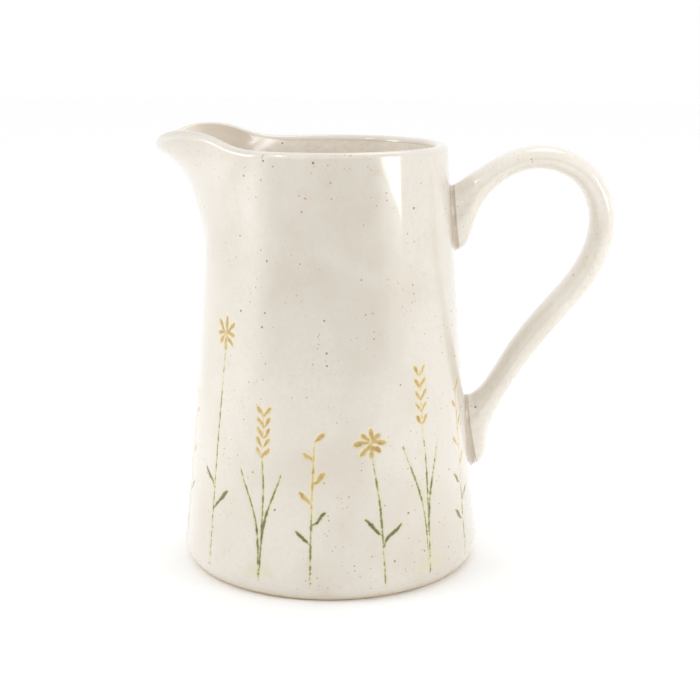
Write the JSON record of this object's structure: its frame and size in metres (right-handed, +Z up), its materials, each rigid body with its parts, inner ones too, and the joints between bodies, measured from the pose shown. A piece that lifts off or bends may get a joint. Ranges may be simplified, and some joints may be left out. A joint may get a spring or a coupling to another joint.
{
  "type": "ceramic pitcher",
  "caption": "Tapering stoneware pitcher with a pulled pouring spout and a looped strap handle, glazed cream with pressed wildflower decoration.",
  "frame": {"origin": "middle of the foot ring, in the plane it stands on; the wall's axis is the Z axis", "axes": "+Z up out of the mouth, -X towards the spout's tip, the handle 5.5 degrees from +X towards +Y"},
  "size_m": [0.2032, 0.1362, 0.197],
  "materials": {
    "stoneware": "bare fired buff stoneware, matt, with fine iron specks",
    "glazed_slip": "slip under the clear cream glaze, glossy",
    "cream_glaze": "glossy warm cream glaze with iron specks, over pressed plants stained green and ochre",
    "liner_glaze": "glossy cream liner glaze with fewer specks"
  },
  "bodies": {
    "root": {"wall": "stoneware", "base": "stoneware", "handle": "stoneware", "upper_joint": "glazed_slip", "lower_joint": "glazed_slip", "outer_glaze": "cream_glaze", "handle_glaze": "cream_glaze", "inner_glaze": "liner_glaze"}
  },
  "joints": []
}
